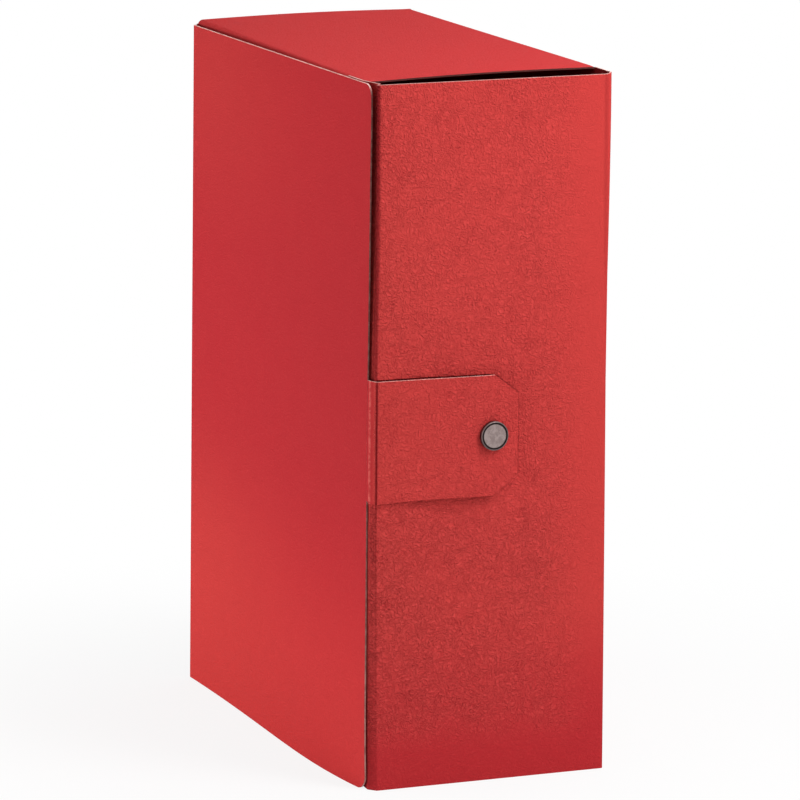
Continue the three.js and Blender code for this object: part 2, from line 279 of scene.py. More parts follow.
def outsideMaterial():
    look = outsideLook
    g = Graph(bpy.data.materials.new("red_leather_grain_board"))
    sheet = g.attribute("sheet")
    shadeAndWear = g.attribute("shadeAndWear")
    fromFold = g.part(shadeAndWear, 0)
    fromCut = g.part(shadeAndWear, 1)
    creaseShadeAndHighlight = g.part(shadeAndWear, 2)
    make = g.attribute("make")
    grainShare = g.part(make, 0)

    along = g.part(sheet, 0)
    up = g.part(sheet, 1)
    warp = g.add("ShaderNodeTexNoise", {}, {"Vector": sheet, "Scale": look["warpScale"], "Detail": 2.0},
                 output=1)
    warped = g.moved(sheet, warp, look["warpReach"])
    patches = g.smooth(g.noise(sheet, look["patchesPerMetre"], 2.0, 0.5, 0.3), 0.32, 0.62, 0.78, 1.0)
    pebbles = g.noise(warped, look["pebblesPerMetre"], 1.0, 0.5, 0.6)
    short = g.noise(warped, look["wrinklesPerMetre"], 2.0, 0.5, 0.4)
    wrinkles = 1 - g.smooth(abs(short - 0.5), 0.0, 0.09)
    strayed = g.noise(sheet, look["longWrinklesPerMetre"], 2.0, 0.55, 0.9)
    sparse = g.smooth(g.noise(sheet, 80.0, 1.0), 0.52, 0.62)
    longWrinkles = (1 - g.smooth(abs(strayed - 0.5), 0.0, 0.04)) * sparse
    fine = g.noise(warped, look["fineGrainPerMetre"], 3.0, 0.6)
    share = grainShare * patches
    hollows = (wrinkles * 0.45 + longWrinkles * 0.4) * share
    grain = (pebbles - 0.5) * share * 2.2 + (fine - 0.5) * (0.15 + 0.25 * share) - hollows

    drift = g.smooth(g.noise(sheet, 9.0, 2.0), 0.35, 0.65)
    nearFold = 1 - g.smooth(fromFold, 0.1 * mm, 0.6 * mm)
    # a crease that is marked below 0 gets a painted highlight instead of painted shade
    # painted shade along the creases, darkest at a sharp crease
    crease = nearFold * creaseShadeAndHighlight.maths("MAXIMUM", creaseShadeAndHighlight, 0.0)
    foldHighlightShare = 0 - creaseShadeAndHighlight.maths("MINIMUM", creaseShadeAndHighlight, 0.0)
    foldHighlight = (1 - g.smooth(fromFold, 0.3 * mm, 1.3 * mm)) * foldHighlightShare
    foldHighlight = foldHighlight * g.smooth(short, 0.4, 0.6, 0.2, 1.0)
    ragged = fromCut + (g.noise(sheet, 900.0, 2.0) - 0.5) * (0.5 * mm)
    rubbed = 1 - g.smooth(ragged, 0.0, 0.30 * mm)
    # the run along the sheet is below 0 on the lid and the tab, and from 1 on over the end walls
    onLid = (1 - g.smooth(along, -0.002, 0.0)) * (1 - g.smooth(0 - along, 0.246, 0.252))
    onEnds = g.smooth(along, 0.90, 0.99)
    foot = (1 - g.smooth(up, 0.01, 0.09)) * (1 - onEnds) * (1 - onLid)
    # a cooler red on the lid, the end walls and the foot: partly the board's tone, partly painted shade
    cool = onLid * g.smooth(0 - along, 0.02, 0.20) + onEnds * 0.6 + foot
    cool = cool.maths("MINIMUM", cool, 1.0)

    body = g.mix(drift * 0.08, look["red"], look["deepRed"])
    body = g.mix(cool, body, look["coolToneShadeRed"])
    # painted shade across the lid above its lowest part
    lidShade = onLid * g.smooth(up, 0.04, 0.17) * g.smooth(up, 0.22, 0.34, 1.0, 0.5)
    body = g.mix(lidShade, body, look["lidShadeRed"])
    # painted shade towards the foot of the front, side and spine
    body = g.mix(foot * 0.75, body, look["footShadeRed"])
    # painted light on the lid's lower part
    body = g.mix(onLid * (1 - g.smooth(up, 0.02, 0.13)) * 0.7, body, look["lidLightRed"])
    body = g.mix(share * look["paleShare"], body, look["paleRed"])
    # painted shade in the grain's wrinkle hollows
    body = g.mix(hollows * look["hollowShadeShare"], body, look["deepRed"])
    # painted highlight on the grain's raised pebbles
    body = g.mix(g.smooth(pebbles, 0.48, 0.7) * share * look["ridgeHighlightShare"], body, look["ridgeHighlightRed"])
    # painted shadow of the shut tab, a dark line on the flap round its edge
    body = g.mix(tabShadowOutline(g, g.part(make, 2), up) * tabShadowLine["strength"], body, look["tabShadowRed"])
    # painted shade along the creases
    body = g.mix(crease * 0.85, body, look["creaseShadeRed"])
    # painted highlight along the lid-to-tab fold, mottled
    body = g.mix(foldHighlight, body, look["foldHighlightRed"])
    body = g.mix(rubbed * 0.8, body, look["cutRed"])
    rough = look["roughness"] + (fine - 0.5) * 0.12 + hollows * 0.08
    relief = g.bump(grain, look["grainDepth"])
    shader = g.add("ShaderNodeBsdfPrincipled", {},
                   {"Base Color": body, "Roughness": rough, "Normal": relief,
                    "Specular IOR Level": look["specular"]})
    return g.finish(shader)


# The inside of the board: the same red, flat and without grain, with a faint fibre.
insideLook = {
    "red": rgb(168, 38, 42),
    "paleRed": rgb(184, 50, 50),
    "fibresPerMetre": 900.0,
    "cloudsPerMetre": 60.0,
    "fibreDepth": 0.03 * mm,
    "roughness": 0.7,
    "specular": 0.15,
}


def insideMaterial():
    look = insideLook
    g = Graph(bpy.data.materials.new("red_board_inside"))
    sheet = g.attribute("sheet")
    fibres = g.noise(sheet, look["fibresPerMetre"], 3.0, 0.6, 0.4)
    clouds = g.noise(sheet, look["cloudsPerMetre"], 2.0)
    body = g.mix(clouds, look["red"], look["paleRed"])
    relief = g.bump(fibres, look["fibreDepth"])
    shader = g.add("ShaderNodeBsdfPrincipled", {},
                   {"Base Color": body, "Roughness": look["roughness"], "Normal": relief,
                    "Specular IOR Level": look["specular"]})
    return g.finish(shader)


# The cut edge: pale torn fibre where the board was cut across, brown on the upright cuts, painted shade on
# the end walls' cuts.
coreLook = {
    "pale": rgb(250, 214, 206),
    "paleCloud": rgb(228, 160, 152),
    "brown": rgb(178, 130, 122),
    "brownCloud": rgb(142, 96, 90),
    "dark": rgb(92, 50, 48),       # painted shade on the end walls' cut edges
    "fibre": rgb(140, 70, 66),
    "fibresPerMetre": 2200.0,
    "cloudsPerMetre": 260.0,
    "fibreDepth": 0.12 * mm,
    "roughness": 0.85,
    "specular": 0.1,
}


def coreMaterial():
    look = coreLook
    g = Graph(bpy.data.materials.new("pale_board_core"))
    sheet = g.attribute("sheet")
    pale = g.part(g.attribute("make"), 1)
    fibres = g.noise(sheet, look["fibresPerMetre"], 3.0, 0.7)
    clouds = g.smooth(g.noise(sheet, look["cloudsPerMetre"], 3.0, 0.6), 0.35, 0.65)
    light = g.mix(clouds, look["pale"], look["paleCloud"])
    brown = g.mix(clouds, look["brown"], look["brownCloud"])
    body = g.mix(pale, brown, light)
    # painted shade: the end walls' cut edges are made dark
    body = g.mix(0 - pale, body, look["dark"])
    body = g.mix(g.smooth(fibres, 0.45, 0.7) * 0.5, body, look["fibre"])
    relief = g.bump(fibres, look["fibreDepth"])
    shader = g.add("ShaderNodeBsdfPrincipled", {},
                   {"Base Color": body, "Roughness": look["roughness"], "Normal": relief,
                    "Specular IOR Level": look["specular"]})
    return g.finish(shader)


boardFinishes = [outsideMaterial(), insideMaterial(), coreMaterial()]
print("board finishes made")


def clamp(value, low=0.0, high=1.0):
    return max(low, min(high, value))


def between(share, first, second):
    return first + (second - first) * share


def eased(value, low, high):
    share = clamp((value - low) / (high - low))
    return share * share * (3 - 2 * share)


def spread(stops, step):
    # the stops, with evenly spaced values between them
    values = [stops[0]]
    for start, end in zip(stops, stops[1:]):
        count = max(1, math.ceil((end - start) / step))
        values += [start + (end - start) * index / count for index in range(1, count + 1)]
    return values


def settled(place):
    # board never stays square: where this place has moved to on the case in the photograph
    left = clamp((halfWidth - place.x) / (2 * halfWidth))
    back = clamp((place.y + halfDepth) / (2 * halfDepth))
    high = clamp(place.z / height)
    weights = {"backLeft": left * back, "backRight": (1 - left) * back,
               "frontLeft": left * (1 - back), "frontRight": (1 - left) * (1 - back)}
    across = sum(share * between(high, board["shiftLow"][corner], board["shiftHigh"][corner])
                 for corner, share in weights.items())
    across -= weights["frontLeft"] * board["bellyFrontLeft"] * math.sin(math.pi * high ** board["bellyLean"])
    sink = weights["backLeft"] * board["sinkBackLeft"]
    rightLift = between(eased(back, 0.0, 0.1), -board["sinkFrontRight"], board["liftRight"]) * (1 - left)
    lift = (rightLift - sink) * high ** board["settlePower"]
    return Vector((place.x + across, place.y, max(0.0, place.z + lift)))


# A folded sheet is laid out as panels on its middle surface, welded, and then given its thickness.
class Sheet:
    def __init__(self):
        self.mesh = bmesh.new()
        layers = self.mesh.verts.layers.float_vector
        self.layers = [layers.new(name) for name in ("outward", "sheet", "shadeAndWear", "make")]
        self.firm = []

    def panel(self, columns):
        # a column runs from one raw edge to the other: (position, outward, sheet, wear, make) each
        rows = []
        for column in columns:
            row = []
            for position, *values in column:
                vertex = self.mesh.verts.new(position)
                for layer, value in zip(self.layers, values):
                    vertex[layer] = value
                row.append(vertex)
            rows.append(row)
        for left, right in zip(rows, rows[1:]):
            for low in range(len(left) - 1):
                self.mesh.faces.new((left[low], right[low], right[low + 1], left[low + 1]))
        # where panels touch, what was laid out first stays as it is
        touching = bmesh.ops.find_doubles(self.mesh, verts=self.mesh.verts, keep_verts=self.firm,
                                          dist=board["weld"])
        bmesh.ops.weld_verts(self.mesh, targetmap=touching["targetmap"])
        self.firm = list(self.mesh.verts)

    def solid(self, name):
        bmesh.ops.dissolve_degenerate(self.mesh, edges=self.mesh.edges, dist=board["weld"] / 2)
        self.mesh.verts.index_update()
        records = [(vertex.co.copy(), *(vertex[layer].copy() for layer in self.layers))
                   for vertex in self.mesh.verts]
        count = len(records)
        outer, inner = [], []
        for position, outward, _, shadeAndWear, _ in records:
            fromScore = shadeAndWear.x / board["grooveHalfWidth"]
            groove = board["groove"] * max(0.0, shadeAndWear.z) * max(0.0, 1 - fromScore ** 2)
            outer.append(settled(position + outward.normalized() * (half - groove)))
            inner.append(settled(position - outward.normalized() * half))
        faces, finishes, sides = [], [], {}        # a finish is a place in boardFinishes
        for face in self.mesh.faces:
            face.normal_update()
            loop = [vertex.index for vertex in face.verts]
            if face.normal.dot(sum((records[index][1] for index in loop), Vector())) < 0:
                loop.reverse()
            faces += [loop, [index + count for index in reversed(loop)]]
            finishes += [0, 1]
            for start, end in zip(loop, loop[1:] + loop[:1]):
                sides.setdefault(frozenset((start, end)), []).append((start, end))
        rim = [directed[0] for directed in sides.values() if len(directed) == 1]
        for start, end in rim:
            faces.append([end, start, start + count, end + count])
            finishes.append(2)
        self.mesh.free()
        data = bpy.data.meshes.new(name)
        data.from_pydata([tuple(point) for point in outer + inner], [], faces)
        for material in boardFinishes:
            data.materials.append(material)
        data.polygons.foreach_set("material_index", finishes)
        data.polygons.foreach_set("use_smooth", [True] * len(faces))
        for label, part in (("sheet", 2), ("shadeAndWear", 3), ("make", 4)):
            layer = data.attributes.new(label, "FLOAT_VECTOR", "POINT")
            layer.data.foreach_set("vector", [value for record in records for value in record[part]] * 2)
        data.update()
        cuts = {frozenset(pair) for pair in rim}
        cuts |= {frozenset((start + count, end + count)) for start, end in rim}
        sharp = data.attributes.new("sharp_edge", "BOOLEAN", "EDGE")
        sharp.data.foreach_set("value", [frozenset(edge.vertices) in cuts for edge in data.edges])
        piece = bpy.data.objects.new(name, data)
        bpy.context.collection.objects.link(piece)
        return piece


def foldedLine(corners, side):
    # corners are (x, y, radius, crease); samples are point, outward, run, distance from the fold, crease
    stops = [Vector(corner[:2]) for corner in corners]
    samples, folds = [], []
    run = 0.0
    last = stops[0]
    for index, corner in enumerate(corners):
        here = stops[index]
        radius = corner[2] if len(corner) > 2 else 0.0
        turn = 0.0
        if radius:
            into = (here - stops[index - 1]).normalized()
            out = (stops[index + 1] - here).normalized()
            turn = into.angle_signed(out)
            entry = here - into * radius * math.tan(abs(turn) / 2)
            centre = entry + Vector((-into.y, into.x)) * math.copysign(radius, -turn)
            arc = []
            for step in range(board["foldSteps"] + 1):
                spin = Matrix.Rotation(-turn * step / board["foldSteps"], 2)
                arc.append((centre + spin @ (entry - centre), spin @ into))
        else:
            entry = here
            neighbour = stops[index + 1] if index == 0 else stops[index - 1]
            arc = [(here, (neighbour - here).normalized() * (1 if index == 0 else -1))]
        straight = (entry - last).length
        pieces = max(1, math.ceil(straight / board["step"])) if index else 0
        shares = [step / pieces for step in range(1, pieces)]
        if straight > board["step"]:
            shares += [near / straight for near in board["besideFold"]]
            shares += [1 - near / straight for near in board["besideFold"]]
        for share in sorted(shares):
            samples.append((last.lerp(entry, share), arc[0][1], run + straight * share))
        run += straight
        for order, (point, heading) in enumerate(arc):
            run += radius * abs(turn) / board["foldSteps"] if order else 0.0
            samples.append((point, heading, run))
        if radius:
            folds.append((run - radius * abs(turn) / 2, corner[3]))
        last = arc[-1][0]
    result = []
    for point, heading, length in samples:
        near, crease = min(((abs(length - middle), share) for middle, share in folds), default=(1.0, 0.0))
        result.append((point, Vector((heading.y, -heading.x)) * side, length, near, crease))
    return result


def swell(place, outward, fromEdges):
    # slow waves of the board, dying out at its folds and seams
    wave = noise.noise(place / board["waveLength"]) * board["waves"]
    return place + outward * wave * clamp(fromEdges / board["waveFade"])


# The shell: spine, side, front flap and tuck strip in one upright band, and the two end walls.
shell = {
    "creaseInset": 2.5 * mm,
    "creaseShiftLow": 0.3 * mm,   # the flap's crease isn't quite upright
    "creaseShiftHigh": -1.35 * mm,
    "creaseCurve": 1.3,
    "creaseFade": 30 * mm,     # the flat flap has gone back to square this far from it
    "creaseFaint": 0.12,       # how deep the crease's groove and how dark its painted shade are at the foot
    "widenFrom": 0.45,         # its painted shade widens on the tuck strip towards the top
    "widenTo": 0.8,
    "widenShare": 0.25,
    "pinch": 4.2 * mm,         # how far the tuck strip is pressed in at the top, behind the lid's edge
    "push": 1.5 * mm,          # and how far it bears out against the lid at the foot
    "pushHeight": 150 * mm,
    "pinchReach": 14 * mm,
    "bevelDepth": 4 * mm,
    "bevelFlat": 1.2 * mm,
    "tuckDepth": 36 * mm,
    "tuckCornerCut": 3 * mm,
    "wallSetBack": 18 * mm,
    "wallBackClearance": 0.35 * mm,
    "topRiseFront": -0.9 * mm,   # the top wall stands a little proud of the lid towards the back
    "topRiseBack": 2.1 * mm,
    "topBackBow": 0.9 * mm,
    "topBow": 0.9 * mm,        # and its free front edge bows up
    "topLipLift": 1.2 * mm,
    "lipDepth": 26 * mm,
    "lipTaper": 12 * mm,
    "endWallRun": 1.0,         # the end walls' place along the sheet, for the finishes
    "topGrain": 0.4,
    "plainBelow": 38 * mm,     # the grain fades towards the foot and the right of the front face
    "plainShare": 0.25,
    "grain": 1.4,
    "lowShare": 0.95,          # it is deeper in the lower half than near the top
    "highShare": 0.7,
    "leftShare": 0.25,         # and it is deepest beside the flap's crease
}


def frontGrain(place):
    low = eased(place.z, 0.4 * shell["plainBelow"], shell["plainBelow"])
    right = 1 - eased(place.x, 0.35 * halfWidth, 0.95 * halfWidth)
    left = 1 - eased(place.x, -halfWidth, -0.35 * halfWidth)
    depth = between(eased(place.z, 0.10, 0.30), shell["lowShare"], shell["highShare"])
    depth *= 1 + shell["leftShare"] * left
    return between(min(low, right), shell["plainShare"], shell["grain"]) * depth


def bandColumn(sample, rows, low, high, grain=1.0, cutPale=1.0):
    point, outward, run, fromFold, crease = sample
    normal = Vector((outward.x, outward.y, 0))
    column = []
    for row in rows:
        z = clamp(row, low, high)
        place = Vector((point.x, point.y, z))
        share = grain(place) if callable(grain) else grain
        place = swell(place, normal, min(fromFold, z - low, high - z))
        column.append((place, normal, (run, z, 0), (fromFold, high - z, crease), (share, cutPale, 1.0)))
    return column


def flapColumn(sample, rows, low, high):
    # the front flap and its tuck strip, with the slant of the crease and the pinch at the top
    shifted = []
    for place, normal, flat, shadeAndWear, make in bandColumn(sample, rows, low, high, frontGrain):
        rise = place.z / height
        crease = between(rise ** shell["creaseCurve"], shell["creaseShiftLow"], shell["creaseShiftHigh"])
        widen = 1.0
        if flat[0] < tuckStart:
            fromCrease = place.x + halfWidth - shell["creaseInset"]
            place.x += crease * clamp(1 - fromCrease / shell["creaseFade"])
        else:
            past = place.y + halfDepth - shell["bevelDepth"]
            onBevel = clamp(1 + past / (shell["bevelDepth"] - shell["bevelFlat"]))
            inward = clamp(1 - past / shell["pinchReach"]) if past > 0 else onBevel
            foot = 1 - eased(place.z, 0.0, shell["pushHeight"])
            place.x += crease * clamp(1 - past / shell["pinchReach"])
            place.x += (shell["pinch"] * eased(rise, 0.3, 1.0) - shell["push"] * foot) * inward
        if flat[0] > tuckStart:
            widen = between(eased(rise, shell["widenFrom"], shell["widenTo"]), 1.0, shell["widenShare"])
        share = shadeAndWear[2] * between(rise, shell["creaseFaint"], 1.0)
        # the flap's place across, which places the painted shadow line round the tab
        across = sample[0].x if abs(sample[0].y - frontY) < 0.1 * mm else 1.0
        shadeAndWear = (shadeAndWear[0] * widen, shadeAndWear[1], share)
        shifted.append((place, normal, flat, shadeAndWear, (make[0], make[1], across)))
    return shifted


def endWall(sheet, sideways, isTop):
    # drawn for the top; the bottom is its mirror image and lies flat
    ceiling = height - half
    line = foldedLine([
        (halfWidth - half, ceiling - board["fold"]),
        (halfWidth - half, ceiling, board["fold"], board["softCrease"]),
        (lipX, ceiling, board["softFold"], 0.0),
        (lipX, height + (shell["topLipLift"] if isTop else 0.0) - shell["lipDepth"]),
    ], 1)
    frontLimit, backLimit = sideways[0], sideways[-1]
    lipTop = ceiling - board["softFold"]
    columns = []
    for point, outward, run, fromFold, crease in line:
        onLip = point.x < lipX + half
        down = clamp((lipTop - point.y) / (lipTop - (height - shell["lipDepth"]))) if onLip else 0.0
        taper = shell["lipTaper"] * down
        across = clamp((halfWidth - point.x) / (halfWidth - lipX))
        normal = Vector((outward.x, 0, outward.y))
        column = []
        for y in sideways:
            held = clamp(y, frontLimit + taper, backLimit - taper)
            share = (held - frontLimit) / (backLimit - frontLimit)
            rise = between(share, shell["topRiseFront"], shell["topRiseBack"]) * across
            rise += shell["topBow"] * math.sin(math.pi * across) * (1 - eased(share, 0.0, 0.8))
            rise += shell["topBackBow"] * math.sin(math.pi * across) * eased(share, 0.5, 1.0)
            place = Vector((point.x, held, point.y + (rise if isTop else 0.0)))
            outwards = normal.copy()
            fromEdge = min(held - frontLimit, backLimit - held)
            place = swell(place, normal, min(fromFold, fromEdge))
            if not isTop:
                place.z = height - place.z
                outwards.z = -outwards.z
            flat = (run + shell["endWallRun"], held, 0)
            # -1 makes the end walls' cut edges dark: painted shade
            make = (shell["topGrain"] if isTop else 1.0, -1.0, 1.0)
            column.append((place, outwards, flat, (fromFold, 1.0, crease), make))
        columns.append(column)
    sheet.panel(columns)


tangent = half + board["fold"]
wallFront = -halfDepth + shell["wallSetBack"]
wallBack = halfDepth - board["thickness"] - shell["wallBackClearance"]
tuckEnd = -halfDepth + shell["bevelDepth"] + shell["tuckDepth"]
sideX = halfWidth - half
creaseX = -halfWidth + shell["creaseInset"] + half
shellLine = foldedLine([
    (hinge["lid_fold"].x, backY),
    (sideX, backY, board["fold"], board["softCrease"]),
    (sideX, wallBack),
    (sideX, wallFront),
    (sideX, frontY, board["fold"], board["softCrease"]),
    (creaseX, frontY, 0.6 * board["fold"], 1.0),
    (tuckX, -halfDepth + shell["bevelDepth"], board["fold"], 0.8),
    (tuckX, tuckEnd - shell["tuckCornerCut"]),
    (tuckX, tuckEnd),
], -1)
tuckStart = next(item[2] for item in shellLine if item[0].x < creaseX + half)


def makeShell():
    sheet = Sheet()
    rows = spread([0, tangent, height - tangent, height], board["step"])
    backStop = next(index for index, item in enumerate(shellLine) if abs(item[0].y - wallBack) < 1e-7)
    frontStop = next(index for index, item in enumerate(shellLine) if abs(item[0].y - wallFront) < 1e-7)
    sheet.panel([bandColumn(item, rows, 0, height) for item in shellLine[:backStop + 1]])
    notched = [row for row in rows if tangent - 1e-9 <= row <= height - tangent + 1e-9]
    walled = shellLine[backStop:frontStop + 1]
    columns = []
    for item in walled:
        column = bandColumn(item, notched, tangent, height - tangent)
        columns.append([(place, normal, flat, (shadeAndWear[0], 1.0, shadeAndWear[2]), make)
                        for place, normal, flat, shadeAndWear, make in column])
    sheet.panel(columns)
    columns = []
    for item in shellLine[frontStop:]:
        past = item[0].y - (tuckEnd - shell["tuckCornerCut"])
        cut = max(0.0, past) if item[0].x < tuckX + half else 0.0
        columns.append(flapColumn(item, rows, cut, height - cut))
    sheet.panel(columns)
    sideways = sorted({round(item[0].y, 9) for item in walled})
    endWall(sheet, sideways, True)
    endWall(sheet, sideways, False)
    piece = sheet.solid("folded_case")
    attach(piece, "case")
    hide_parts("case_shell")


makeShell()
print("case shell made")


# The lid: from the fold at the spine to the slanted strip before the tab's crease.
lid = {
    "setBack": 6 * mm,
    "slantHigh": 1.5 * mm,     # the front edge reaches further forward at the top
    "slantLow": -1.3 * mm,
    "cornerRadius": 6.5 * mm,
    "cornerSteps": 10,
    "tabRootReach": 3 * mm,
    "tabCreaseInset": 1.8 * mm,
    "tabCreaseStandOff": 0.6 * mm,
    "lowBow": 4.7 * mm,        # the lower edge bows outwards, most in front of its middle
    "frontBow": 1.8 * mm,      # the free front edge stands off below the tab
    "frontReach": 3.9 * mm,    # and reaches further forward there
    "rootFlare": 0.9 * mm,     # the tab's root is a little taller below
    "bowHeight": 150 * mm,
    "bowLean": 2.2,
    "bowRound": 0.8,
    "forwardFade": 40 * mm,    # the lid is back to square this far behind its front edge
    "flareFrom": 8 * mm,
    "flareTo": 26 * mm,
    "seamShare": 0.74,         # where lid and tab meet, on the strip from the root to the crease
    "foldFrom": 1.5 * mm,      # two places for the fold at the spine, which nothing reads
    "foldTo": 2.0 * mm,
    "grain": 0.28,
}
lidFront = -halfDepth + lid["setBack"]
tabRoot = (lidX, lidFront - lid["tabRootReach"])
tabCrease = (-halfWidth + lid["tabCreaseInset"] + half, -halfDepth - lid["tabCreaseStandOff"] - half)
tabSeam = Vector(tabRoot).lerp(Vector(tabCrease), lid["seamShare"])


def lidPlace(place):
    low = 1 - eased(place.z, 0.0, lid["bowHeight"])
    along = clamp((halfDepth - place.y) / (halfDepth - lidFront))
    bow = abs(math.sin(math.pi * along ** lid["bowLean"])) ** lid["bowRound"]
    out = low * (lid["lowBow"] * bow + lid["frontBow"] * along ** 2)
    drop = lidLow.z * along * (1 - eased(place.z, 0.0, 0.5 * lid["bowHeight"]))
    forward = between(place.z / height, lid["slantLow"], lid["slantHigh"]) + lid["frontReach"] * low
    if place.y > lidFront:
        forward *= eased(-place.y, -lidFront - lid["forwardFade"], -lidFront)
    else:
        forward *= clamp((place.y - tabRoot[1]) / lid["tabRootReach"])
    flatShare = 1.0 if place.y > tabRoot[1] else 0.0
    return place + Vector((-out * flatShare, -forward, -drop * flatShare))


def flared(place, past):
    # past is how far the place lies beyond the lid's front edge, along the sheet
    share = eased(past, 0.0, lid["tabRootReach"]) * (1 - eased(past, lid["flareFrom"], lid["flareTo"]))
    below = clamp((midZ - place.z) / (midZ - tabLow.z))
    return place - Vector((0, 0, lid["rootFlare"] * share * below))


def lidColumn(sample, rows, low, high, cutPale=1.0):
    column = bandColumn(sample, rows, low, high, lid["grain"], cutPale)
    return [(lidPlace(place) if place.x < lidX + half else place, normal, (-flat[0], flat[1], 0), shadeAndWear, make)
            for place, normal, flat, shadeAndWear, make in column]


def makeLid():
    sheet = Sheet()
    rows = spread([lidLow.z, tabLow.z, tabHigh.z, lidHigh.z], board["step"])
    radius = lid["cornerRadius"]
    roundY = lidFront + radius
    line = foldedLine([
        (hinge["lid_fold"].x, backY),
        (lidX, backY, board["fold"], board["softCrease"]),
        (lidX, roundY),
    ], 1)
    sheet.panel([lidColumn(item, rows, lidLow.z, lidHigh.z) for item in line])
    startRun = line[-1][2]
    corner = []
    for step in range(lid["cornerSteps"] + 1):
        angle = math.pi / 2 * step / lid["cornerSteps"]
        y = roundY - radius * math.sin(angle)
        cut = radius * (1 - math.cos(angle))
        item = (Vector((lidX, y)), line[-1][1], startRun + roundY - y, 1.0, 0.0)
        pale = 1 - step / lid["cornerSteps"]
        corner.append(lidColumn(item, rows, lidLow.z + cut, lidHigh.z - cut, pale))
    sheet.panel(corner)
    # the crease share below 0 gives this fold a painted highlight
    root = foldedLine([(lidX, lidFront), (*tabRoot, board["fold"], -0.7), tuple(tabSeam)], 1)
    strip = [row for row in rows if tabLow.z - 1e-9 <= row <= tabHigh.z + 1e-9]
    columns = []
    for point, outward, past, near, crease in root:
        item = (point, outward, startRun + radius + past, near, crease)
        columns.append([(flared(place, past), *rest)
                        for place, *rest in lidColumn(item, strip, tabLow.z, tabHigh.z)])
    sheet.panel(columns)
    piece = sheet.solid("lid_board")
    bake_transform(piece)
    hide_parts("lid")
    return item[2], past


tabStartRun, tabPastFront = makeLid()        # the run and the reach at which the tab takes over
print("lid made")


def makeTab():
    sheet = Sheet()
    levelY = tabLow.y + half
    line = foldedLine([
        tuple(tabSeam),
        (*tabCrease, board["fold"], 1.0),
        (snapX - tab["levelFrom"], levelY, tab["bendRadius"], 0.0),
        (tabHigh.x - tab["cutLength"], levelY),
        (tabHigh.x, levelY),
    ], 1)
    stops = [tabLow.z, tabLow.z + tab["cutHeight"], tabHigh.z - tab["cutHeight"], tabHigh.z]
    rows = spread(stops, board["step"] / 2)
    columns = []
    for point, outward, run, fromFold, crease in line:
        cut = clamp((point.x - (tabHigh.x - tab["cutLength"])) / tab["cutLength"]) * tab["cutHeight"]
        item = (point, outward, tabStartRun + run, fromFold, crease)
        pale = 1 - clamp(2 * cut / tab["cutHeight"])
        column = bandColumn(item, rows, tabLow.z + cut, tabHigh.z - cut, tab["grain"], pale)
        columns.append([(flared(place, tabPastFront + run), normal, (-flat[0], flat[1], 0),
                         (shadeAndWear[0], shadeAndWear[1] + min(cut, tab["cutSoft"]), shadeAndWear[2]), make)
                        for place, normal, flat, shadeAndWear, make in column])
    sheet.panel(columns)
    piece = sheet.solid("tab_board")
    end = Vector((tabCrease[0] + tab["creaseReach"], tabCrease[1], midZ))
    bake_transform(piece)
    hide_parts("closure_tab")


makeTab()
print("tab made")


# The press stud: four turned pieces on one axis, which runs out of the front face.
def turnedPiece(name, profile, steps, material, body, node):
    # profile holds [radius, depth] from the axis round to the axis, or closed on itself
    data = bpy.data.meshes.new(name)
    shape = bmesh.new()
    rings = []
    for radius, depth in profile:
        if radius < 1e-7:
            rings.append([shape.verts.new((snapX, depth, midZ))])
        else:
            turns = [2 * math.pi * step / steps for step in range(steps)]
            rings.append([shape.verts.new((snapX + radius * math.cos(turn), depth,
                                           midZ + radius * math.sin(turn))) for turn in turns])
    closed = len(rings[0]) > 1
    pairs = list(zip(rings, rings[1:])) + ([(rings[-1], rings[0])] if closed else [])
    for first, second in pairs:
        for step in range(steps):
            after = (step + 1) % steps
            loop = [first[step % len(first)], first[after % len(first)],
                    second[after % len(second)], second[step % len(second)]]
            shape.faces.new(list(dict.fromkeys(loop)))        # a triangle where one ring is a point
    bmesh.ops.recalc_face_normals(shape, faces=shape.faces)
    shape.to_mesh(data)
    shape.free()
    data.materials.append(material)
    data.polygons.foreach_set("use_smooth", [True] * len(data.polygons))
    data.set_sharp_from_angle(angle=math.radians(35))
    piece = bpy.data.objects.new(name, data)
    bpy.context.collection.objects.link(piece)
    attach(piece, body)
    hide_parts(node)


snap = {
    "rimRound": 0.35 * mm,
    "groove": 6.3 * mm,        # radius of the dark ring pressed in beside the rim
    "grooveDepth": 0.3 * mm,
    "dome": 0.12 * mm,
    "grooveFlat": 0.12 * mm,   # half the width of the ring's floor
    "grooveReach": 0.3 * mm,
    "capHeight": 2.2 * mm,
    "wall": 0.5 * mm,
    "rivet": 1.5 * mm,
    "plate": 0.5 * mm,
    "socketHole": 1.8 * mm,
    "socketLip": (4.35 * mm, 3.7 * mm, 3.15 * mm, 2.65 * mm),   # radii from its foot over the bead
    "bead": 0.5 * mm,
    "base": 0.6 * mm,          # thickness of the stud's and the post's flanges
    "headRound": (1.8 * mm, 0.5 * mm),
    "neck": 2.0 * mm,
    "neckDepth": 0.95 * mm,
    "postRadius": 1.2 * mm,
    "edge": 0.15 * mm,
    "turns": 96,
}


def arcProfile(centreRadius, centreDepth, radius, startDegrees, endDegrees, steps):
    angles = [math.radians(between(step / steps, startDegrees, endDegrees)) for step in range(steps + 1)]
    return [(centreRadius + radius * math.cos(angle), centreDepth + radius * math.sin(angle))
            for angle in angles]


metalLook = {
    "aged": rgb(138, 122, 119),
    "bright": rgb(160, 144, 141),
    "scuff": rgb(190, 178, 174),
    "rim": rgb(92, 80, 79),
    "dark": rgb(26, 19, 20),
    "nickel": rgb(176, 174, 170),
    "nickelScuff": rgb(150, 148, 146),
}


